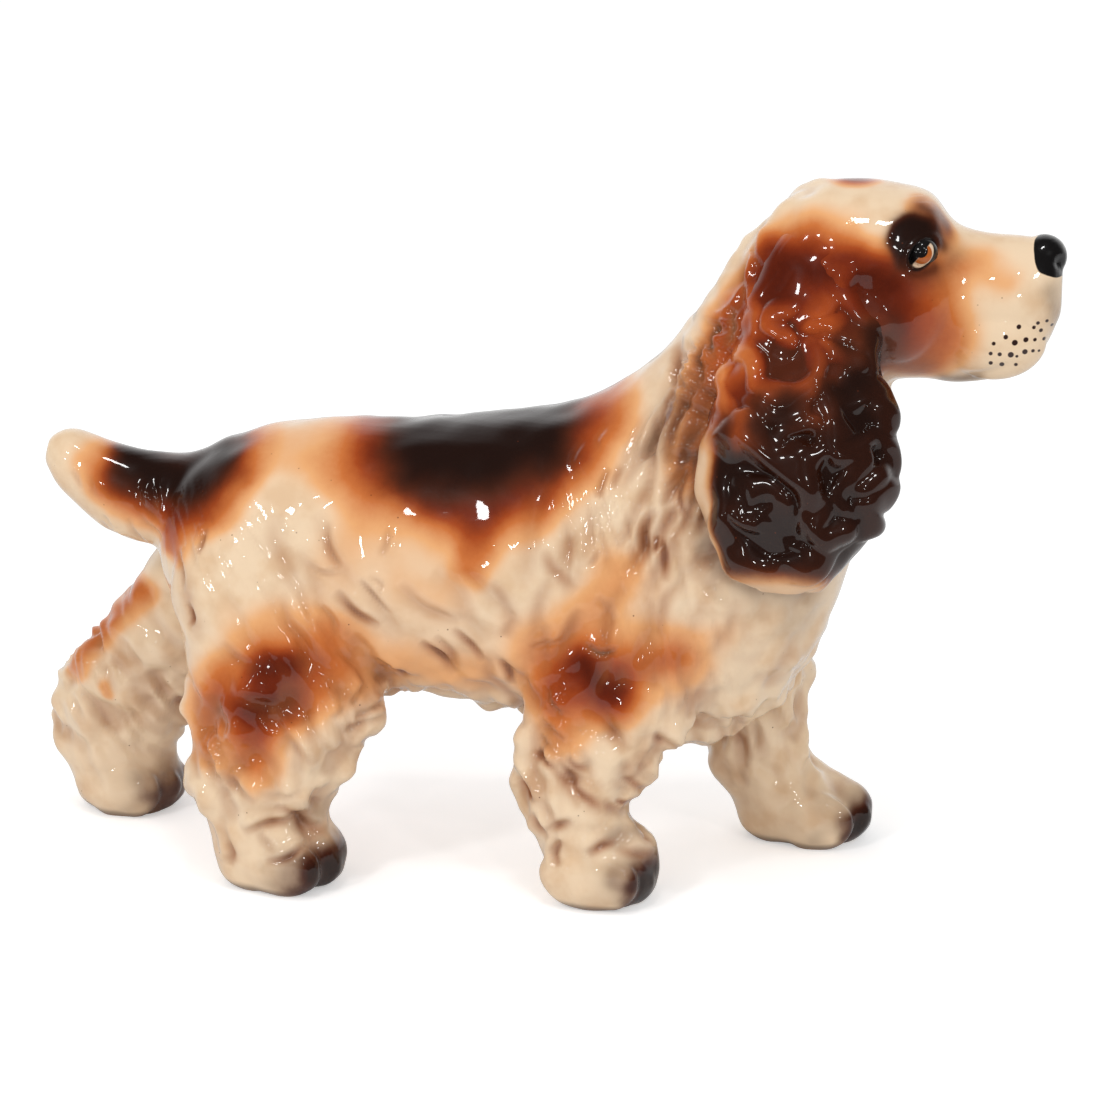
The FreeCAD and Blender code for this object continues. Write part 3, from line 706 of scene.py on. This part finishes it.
# Colour of the ears: mahogany above and near-black below a border that rises towards the front,
# lighter on the curls as a painted highlight, and darker in the hollows between them as painted shade.
def hairCoats(points, ridge):
    x, _, z = points.T
    # Height on a curl, which sets the painted highlight on the curls.
    high = np.clip(ridge / 1.8, 0, 1)
    edge = z + 3.2 * softNoise(points, 17, 33) + 1.2 * softNoise(points, 7, 36) - 0.34 * (x - 74)
    edge = edge - 13 * rising(x, 86, 98) * rising(z, 138, 150)
    rear = falling(x, 60, 74)
    # Painted shade in the hollows between the curls.
    hollowShade = 0.5 * falling(ridge, 0.1, 0.9) * falling(z, 164, 184) * (1 - rear)
    return {
        "soot": np.maximum(falling(edge, 134, 160) * (0.94 - 0.12 * high), hollowShade),
        "rust": np.clip(0.98 - 0.32 * high - 0.25 * rear * rising(z, 138, 156), 0, 1),
    }


# Where the smooth face starts, and where the ears grow out of the skull, as ranges of x, of height
# and of distance from the middle plane.
borders = {
    "face": (88, 98),
    "faceAbove": 130,
    "earAlong": (58, 68, 97, 106),
    "earUp": (138, 150, 178, 187),
    "earOut": (12, 18),
}

stage("pressing the coat and the face into the skin")
bodyNormals = body.normals()
bodyX, bodySide, bodyZ = body.points[:, 0], np.abs(body.points[:, 1]), body.points[:, 2]
eyeSide = bodySide[np.hypot(*(body.points[:, [0, 2]] - eyeMiddle).T) < 1.5].max()
coatHeight, coatBrown = coatRelief(body.points, bodyNormals)
lumps = coatLumps(body.points)
strands = streaks(body.points) * rising(bodySide, 8, 18)
offFace = 1 - rising(bodyX, *borders["face"]) * (bodyZ > borders["faceAbove"])
earRoot = between(bodyX, *borders["earAlong"]) * between(bodyZ, *borders["earUp"])
earRoot = earRoot * rising(bodySide, *borders["earOut"])
rootCurls = hairRelief(body.points)
lift = (coatHeight + lumps + strands) * offFace + faceRelief(body.points, bodyNormals)
lift = lift * (1 - earRoot) + rootCurls * earRoot
body.points = body.points + bodyNormals * lift[:, None]
body.points[:, 2] = np.maximum(body.points[:, 2], 0)
bodyNormals = body.normals()

stage("spraying the colours")
bodyCoats = paint(body.points)
for key, values in hairCoats(body.points, rootCurls).items():
    bodyCoats[key] = bodyCoats[key] * (1 - 0.8 * earRoot) + values * 0.8 * earRoot
hollows = 0.34 * np.clip(-lumps - 0.35, 0, 1) + 0.4 * np.clip(-strands - 0.15, 0, 0.6)
bodyCoats["wash"] = np.clip(1.15 * coatBrown + hollows, 0, 1) * offFace


# Toes: dark at the front, brown behind that, and a brown line where the glaze ends at the sole.
def toePaint(coats, points, normals):
    x, _, z = points.T
    front = 0.6 + 0.4 * rising(normals[:, 0], -0.2, 0.5)
    for limb, (tip, shade, start) in paws.items():
        here = (owner == pieceNames.index(limb)) & (z < 30)
        ahead = x - tip + 1.2 * softNoise(points, 7, 21)
        dark = shade * rising(ahead, start, -1) * falling(z, 8, 20) * front
        brown = (0.45 + 0.12 * softNoise(points, 9, 22)) * rising(ahead, -26, -6)
        brown = brown * falling(z, 12, 22)
        sole = 0.8 * falling(z, 1.0, 3.6)
        for key, shades in (("soot", dark), ("umber", np.maximum(brown, sole))):
            coats[key] = np.where(here, np.maximum(coats[key], shades), coats[key])


toePaint(bodyCoats, body.points, bodyNormals)


# A skirt under the surface from every open edge, so that what closes the piece is out of sight.
def withSkirt(skin, normals, depth=1.6):
    ends = np.concatenate([skin.quads[:, [k, (k + 1) % 4]] for k in range(4)])
    count = len(skin.points)
    rim = ends[~np.isin(ends[:, 0] * count + ends[:, 1], ends[:, 1] * count + ends[:, 0])]
    lip = np.unique(rim)
    under = count + np.searchsorted(lip, rim)
    points = np.vstack([skin.points, skin.points[lip] - depth * normals[lip]])
    return Skin(points, np.vstack([skin.quads, np.c_[rim[:, ::-1], under]])), lip


def closeHoles(mesh):
    work = bmesh.new()
    work.from_mesh(mesh)
    rims = [edge for edge in work.edges if edge.is_boundary]
    caps = bmesh.ops.holes_fill(work, edges=rims, sides=0)["faces"]
    bmesh.ops.triangulate(work, faces=caps)
    work.to_mesh(mesh)
    work.free()


def dressPiece(node, mesh, normals, coats, slotName):
    for key, values in coats.items():
        mesh.attributes.new(key, "FLOAT", "POINT").data.foreach_set("value", values.astype(np.float32))
    mesh.polygons.foreach_set("use_smooth", np.ones(len(mesh.polygons), bool))
    mesh.normals_split_custom_set_from_vertices(normals.astype(np.float32))
    mesh.materials.append(glazes[slotName])
    piece = show(node + "_cast", mesh)
    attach(piece, "root")
    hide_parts(node)


def eyeballs():
    radius, (x, z) = eyeSettings["ball"], eyeMiddle
    centres = [(x, side * (eyeSide - radius + 0.2), z) for side in (-1, 1)]
    return [eggSkin(centre, (radius,) * 3, rings=40, around=60) for centre in centres]


# A piece cut from the skin and closed inside. It keeps the whole skin's normals, so that the luted
# joints run smoothly. The eyeballs are part of the head's mesh.
def castPiece(name, column):
    used, renumbered = np.unique(body.quads[faceOwner == column], return_inverse=True)
    skin, lip = withSkirt(Skin(body.points[used], renumbered.reshape(-1, 4)), bodyNormals[used])
    kept = np.concatenate([used, used[lip]])
    normals = bodyNormals[kept]
    coats = {key: values[kept] for key, values in bodyCoats.items()}
    if name == "head":
        balls = eyeballs()
        normals = np.concatenate([normals] + [ball.normals() for ball in balls])
        extra = len(normals) - len(kept)
        for key in coats:
            coats[key] = np.concatenate([coats[key], np.full(extra, float(key == "soot"))])
        skin = joinSkins([skin, *balls])
    mesh = meshFrom(name, skin, metre)
    closeHoles(mesh)
    dressPiece(name, mesh, normals, coats, slots.get(name, "leg_glaze"))


# A shader socket with arithmetic: each operation on it adds a node to the tree in hand.
class Wire:
    tree = None

    def __init__(self, socket):
        self.socket = socket

    @staticmethod
    def open(thing, node):
        thing.use_nodes = True
        Wire.tree = thing.node_tree
        return Wire.tree.nodes[node]

    @staticmethod
    def fill(node, inputs):
        for key, value in inputs.items():
            if isinstance(value, Wire):
                Wire.tree.links.new(value.socket, node.inputs[key])
            else:
                node.inputs[key].default_value = value

    @staticmethod
    def add(kind, inputs, output=0, **settings):
        made = Wire.tree.nodes.new(kind)
        for key, value in settings.items():
            setattr(made, key, value)
        Wire.fill(made, inputs)
        return Wire(made.outputs[output])

    def math(self, kind, *others):
        return Wire.add("ShaderNodeMath", dict(enumerate((self, *others))), operation=kind)

    def __add__(self, other):
        return self.math("ADD", other)

    def __sub__(self, other):
        return self.math("SUBTRACT", other)

    def __rsub__(self, other):
        return Wire.add("ShaderNodeMath", {0: other, 1: self}, operation="SUBTRACT")

    def __mul__(self, other):
        return self.math("MULTIPLY", other)

    __radd__ = __add__
    __rmul__ = __mul__

    def step(self, low, high):
        inputs = {"Value": self, "From Min": low, "From Max": high}
        return Wire.add("ShaderNodeMapRange", inputs, interpolation_type="SMOOTHSTEP")

    def parts(self):
        outputs = Wire.add("ShaderNodeSeparateXYZ", {0: self}).socket.node.outputs
        return [Wire(socket) for socket in outputs]


def noise(place, length, detail=2.0):
    return Wire.add("ShaderNodeTexNoise", {"Vector": place, "Scale": 1 / length, "Detail": detail})


def mixed(share, first, second):
    first, second = ((*value, 1) if isinstance(value, tuple) else value for value in (first, second))
    return Wire.add("ShaderNodeMix", {0: share, 6: first, 7: second}, output=2, data_type="RGBA")


def ramp(value, stops):
    made = Wire.add("ShaderNodeValToRGB", {"Fac": value})
    table = made.socket.node.color_ramp
    while len(table.elements) < len(stops):
        table.elements.new(0.5)
    for element, (spot, colour) in zip(table.elements, stops):
        element.position = spot
        element.color = (*colour, 1)
    return made


def rays(kind):
    return Wire.add("ShaderNodeLightPath", {}, output=f"Is {kind} Ray")


# Glaze colours, linear.
glazeColours = {
    "cream": (0.83, 0.635, 0.435),
    "creamDeep": (0.74, 0.515, 0.32),
    "sootEdge": (0.10, 0.020, 0.006),
    "soot": (0.014, 0.004, 0.002),
    "umber": (0.11, 0.055, 0.035),
    "wash": (0.33, 0.105, 0.034),
    "clay": (0.45, 0.28, 0.17),
    "nose": (0.006, 0.005, 0.005),
    "iris": (0.40, 0.10, 0.016),
    "eyeWhite": (0.72, 0.54, 0.38),
    "dots": (0.03, 0.012, 0.010),
}
rustStops = [
    (0.0, (0.86, 0.62, 0.41)), (0.24, (0.80, 0.40, 0.17)), (0.48, (0.58, 0.165, 0.040)),
    (0.66, (0.37, 0.062, 0.010)), (0.85, (0.18, 0.020, 0.003)), (1.0, (0.085, 0.008, 0.001)),
]
# Whisker dots of the muzzle: pixels of the photograph, and radius in millimetres.
whiskerDots = [
    (1019, 325, 0.62), (1034, 327, 0.5), (1038, 323, 0.5), (1047, 322, 0.45), (1052, 328, 0.42),
    (1006, 334, 0.62), (1041, 331, 0.52), (994, 340, 0.52), (1015, 340, 0.78), (1026, 338, 0.68),
    (1035, 339, 0.48), (1044, 340, 0.45), (991, 350, 0.52), (1000, 351, 0.56), (1011, 352, 0.8),
    (1025, 350, 0.72), (1033, 350, 0.48), (1039, 351, 0.36), (991, 360, 0.56), (1002, 362, 0.66),
    (1016, 363, 0.5), (1017, 354, 0.4),
]
# The nose is a rounded box: the pixel of its middle, and its half sizes.
noseSettings = {"middle": (1051.0, 257.0), "halves": (4.9, 10.5, 5.5)}


# Crisp paint of the face, as shares and colours.
def facePaint(place):
    x, y, z = place.parts()
    flat = Wire.add("ShaderNodeCombineXYZ", {0: x, 2: z})

    def gap(spot):
        spot = (float(spot[0]), 0, float(spot[1]))
        return Wire.add("ShaderNodeVectorMath", {0: flat, 1: spot}, output=1, operation="DISTANCE")

    noseX, noseZ = (float(value) for value in onSide(noseSettings["middle"], -5)[0])
    offsets = zip((x - noseX, y, z - noseZ), noseSettings["halves"])
    noseShare = sum((offset * (1 / half)).math("POWER", 4.0) for offset, half in offsets)
    nose = 1 - (noseShare + (noise(place, 5.0) - 0.5) * 0.3).step(0.94, 1.1)
    groove = 1 - (y.math("ABSOLUTE") + (178 - z) * 0.17).step(2.3, 2.9)
    philtrum = groove * z.step(168, 170) * (1 - z.step(178, 180)) * x.step(138, 140)
    eyeX, eyeZ = x - float(eyeMiddle[0]), z - float(eyeMiddle[1])
    along = (eyeX * slantCos + eyeZ * slantSin) * (1 / eyeSettings["halves"][0])
    across = (eyeZ * slantCos - eyeX * slantSin) * (1 / eyeSettings["halves"][1])
    opening = (along * along + across * across).math("SQRT")
    # The upper half of each eye opening stays black, a painted shadow of the upper lid. White and iris are
    # painted only below it.
    belowLidShade = (1 - opening.step(0.94, 1.02)) * (1 - across.step(0.0, 0.14))
    nearest, *dots = (gap(onSide(pixel, -11)[0]) - radius for *pixel, radius in whiskerDots)
    for dot in dots:
        nearest = nearest.math("MINIMUM", dot)
    return [
        (nose, "nose"),
        (philtrum, "nose"),
        (1 - opening.step(1.06, 1.34), "nose"),
        (belowLidShade, "eyeWhite"),
        ((1 - gap(eyeIris).step(2.75, 2.95)) * belowLidShade, "iris"),
        ((1 - gap(eyePupil).step(1.75, 1.95)) * (1 - opening.step(0.95, 1.1)), "nose"),
        ((1 - nearest.step(-0.12, 0.16)) * x.step(120, 124), "dots"),
    ]


# Cream with clouds of rust, umber and soot, some umber being painted shade under ear and jaw, brown
# wash in the grooves and fine specks, under a clear glossy coat. The sole is left as bare clay.
def glazeMaterial(slotName):
    material = bpy.data.materials.new(slotName)
    shader = Wire.open(material, "Principled BSDF")
    metres = Wire.add("ShaderNodeTexCoord", {}, output="Object")
    place = Wire.add("ShaderNodeVectorMath", {0: metres, 3: 1 / metre}, operation="SCALE")
    rust, soot, umber, wash = (
        Wire.add("ShaderNodeAttribute", {}, output="Fac", attribute_name=key)
        for key in ("rust", "soot", "umber", "wash"))
    clouds, grain = noise(place, 11.0, 3.0), noise(place, 1.6)
    uneven = (clouds - 0.5) * 0.09 + (grain - 0.5) * 0.05
    rustDepth, umberDepth, sootDepth = (
        coat + uneven * coat.step(0.02, full) for coat, full in ((rust, 0.4), (umber, 0.5), (soot, 0.5)))
    speckField = Wire.add("ShaderNodeTexVoronoi", {"Vector": place, "Scale": 0.24}, output="Distance")
    specks = (1 - speckField.step(0.035, 0.075)) * noise(place, 9.0).step(0.5, 0.6)
    bare = 1 - place.parts()[2].step(0.25, 0.7)
    colour = mixed(clouds.step(0.42, 0.72), glazeColours["cream"], glazeColours["creamDeep"])
    colour = mixed(rust.step(0.0, 0.24), colour, ramp(rustDepth, rustStops))
    for share, shade in (
            (wash * (0.75 + clouds * 0.5), "wash"),
            (wash.step(0.6, 1.0) * 0.4, "umber"),
            (umberDepth * 0.85, "umber"),
            (sootDepth.step(0.0, 0.7), "sootEdge"),
            (sootDepth.step(0.25, 1.0), "soot"),
            (specks * 0.75, "sootEdge"),
            *(facePaint(place) if slotName == "head_glaze" else []),
            (bare, "clay")):
        colour = mixed(share, colour, glazeColours[shade])
    ripple = noise(place, 5.0) + grain * 0.25
    Wire.fill(shader, {
        "Base Color": colour,
        "Roughness": 0.34 + bare * 0.5,
        "Coat Weight": 1 - bare,
        "Coat Roughness": 0.035,
        "Coat IOR": 1.42,
        "Specular IOR Level": 0.08,
        "Normal": Wire.add("ShaderNodeBump", {"Strength": 0.25, "Distance": 0.0004, "Height": ripple}),
    })
    return material


stage("mixing the glazes")
slots = {"torso": "torso_glaze", "head": "head_glaze", "tail": "tail_glaze"}
glazes = {key: glazeMaterial(key) for key in (*slots.values(), "ear_glaze", "leg_glaze")}
stage("cutting the castings")
faceOwner = np.sort(owner[body.quads], axis=1)[:, 1]
for column, name in enumerate(pieceNames):
    castPiece(name, column)

# Ears: rows like those of the legs. The front edge and the root lie inside the head, so that the ear
# grows out of it.
earRows = [
    (96, 70, 86, 41, 4), (102, 62, 94, 39, 9.5), (112, 56, 101, 36.5, 13), (125, 54, 106, 33.5, 15),
    (140, 55.5, 105, 29.5, 15), (155, 60, 101.5, 23, 14.5), (166, 63, 101.5, 17.5, 13),
    (176, 66, 102, 14.5, 11.5), (186, 71, 100, 12, 9), (193, 78, 94, 8, 5),
]
earSettings = {
    "farBack": 6.5,  # the far ear hangs this much further back, hidden by the near one
    "headColours": (164, 180),  # heights between which the head's colours take over
    "rimMiddle": (80, 126),  # the pale rim at the rear lies outside an oval round this (x, z)
    "rimHalves": (19.5, 32),
    "foot": (97.5, 107),  # heights of the pale foot
}


def earPiece(name):
    side = sideOf(name)
    rings, around = ((250, 290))
    rows = np.array(earRows, float)
    rows[:, 2] -= earSettings["farBack"] * (side > 0) * rising(rows[:, 0], 108, 128)
    skin = ringSkin(levelRings(rows, rings, side), around)
    points, normals = skin.points, skin.normals()
    x, _, z = points.T
    ridge = hairRelief(points)
    top = rising(z, *earSettings["headColours"])
    sprayed, hair = paint(points), hairCoats(points, ridge)
    coats = {key: hair[key] * (1 - top) + sprayed[key] * top for key in hair}
    lift = ridge * rising(normals[:, 1] * side, -0.25, 0.3) * (1 - 0.85 * top)
    skin.points = skin.spread(points + normals * lift[:, None], 3)
    (middleX, middleZ), (halfX, halfZ) = earSettings["rimMiddle"], earSettings["rimHalves"]
    oval = halfX * np.sqrt(np.clip(1 - ((z - middleZ) / halfZ)**2, 0, 1))
    rim = rising(middleX - x, oval + 0.5, oval + 5) * falling(z, 130, 144)
    rim = np.maximum(rim, falling(z, *earSettings["foot"]) * falling(x, 84, 98))
    coats["soot"] = coats["soot"] * (1 - 0.93 * rim)
    coats["rust"] = coats["rust"] * (1 - rim) + 0.12 * rim
    coats["umber"] = 0.16 * rim
    coats["wash"] = 0 * rim
    dressPiece(name, meshFrom(name, skin, metre), skin.normals(), coats, "ear_glaze")


stage("modelling the ears")
earPiece("right_ear")
earPiece("left_ear")

# Pale floor, lifted to white for the camera where nothing shades it.
stage("setting the studio")
floorMesh = bpy.data.meshes.new("floor")
floorMesh.from_pydata([(-6, -0.32, 0), (6, -0.32, 0), (6, 6, 0), (-6, 6, 0)], [], [(0, 1, 2, 3)])
paper = bpy.data.materials.new("paper")
Wire.fill(Wire.open(paper, "Principled BSDF"), {
    "Base Color": (0.86, 0.86, 0.86, 1),
    "Roughness": 0.9,
    "Specular IOR Level": 0.0,
    "Emission Strength": 1.0,
    "Emission Color": mixed(rays("Camera"), (0, 0, 0), (0.42, 0.42, 0.42)),
})
floorMesh.materials.append(paper)
show("floor", floorMesh)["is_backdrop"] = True

# Even light all round. The camera sees white, and glossy rays a dimmer room on its own side.
lightSettings = {
    "ambient": 0.71,
    "room": 0.06,  # what glossy rays see on the photographer's side
    "photographer": (0.14, -0.96, 0.26),
    "lamps": [  # place, size and power
        ((-0.62, -1.05, 1.00), (0.20, 0.16), 3.4),
        ((0.75, -0.95, 0.85), (0.10, 0.14), 1.5),
        ((0.05, -0.45, 1.45), (0.14, 0.14), 2.0),
        ((-0.20, -1.30, 0.45), (0.07, 0.07), 0.7),
        ((0.45, -1.20, 1.30), (0.07, 0.07), 0.8),
        ((-0.80, -0.95, 0.42), (0.06, 0.09), 0.7),
        ((0.62, -1.15, 0.40), (0.06, 0.06), 0.6),
    ],
}
world = bpy.data.worlds.new("studio")
bpy.context.scene.world = world
background = Wire.open(world, "Background")
facing = Wire.add("ShaderNodeTexCoord", {}, output="Generated")
directions = {0: facing, 1: lightSettings["photographer"]}
toCamera = Wire.add("ShaderNodeVectorMath", directions, output=1, operation="DOT_PRODUCT")
room = 1 - toCamera.step(-0.7, 0.0) * (1 - lightSettings["room"])
seen, glossy = rays("Camera"), rays("Glossy")
strength = glossy * room + seen + (1 - (seen + glossy)) * lightSettings["ambient"]
Wire.fill(background, {"Color": (1, 1, 1, 1), "Strength": strength})

for number, (place, size, power) in enumerate(lightSettings["lamps"]):
    lamp = bpy.data.lights.new(f"softbox{number}", "AREA")
    lamp.shape = "RECTANGLE"
    lamp.size, lamp.size_y = size
    lamp.energy = power
    light = show(lamp.name, lamp)
    light.location = place
    light.rotation_euler = (Vector((0, 0, 0.1)) - Vector(place)).to_track_quat("-Z", "Y").to_euler()

camera = show("camera", bpy.data.cameras.new("camera"))
camera.data.sensor_width = 36
camera.data.lens = 36 * cameraSettings["pixelsPerUnit"] / cameraSettings["frame"]
turned = Matrix((rightward, upward, backward)).transposed().to_4x4()
camera.matrix_world = Matrix.Translation(Vector(eyePoint * metre)) @ turned
camera.data.clip_start = 0.05
bpy.context.scene.camera = camera
bpy.context.scene.view_settings.view_transform = "Standard"

visualBox = [[float(v) for v in corner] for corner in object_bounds()]
stage(f"box {cadBox} {visualBox}")
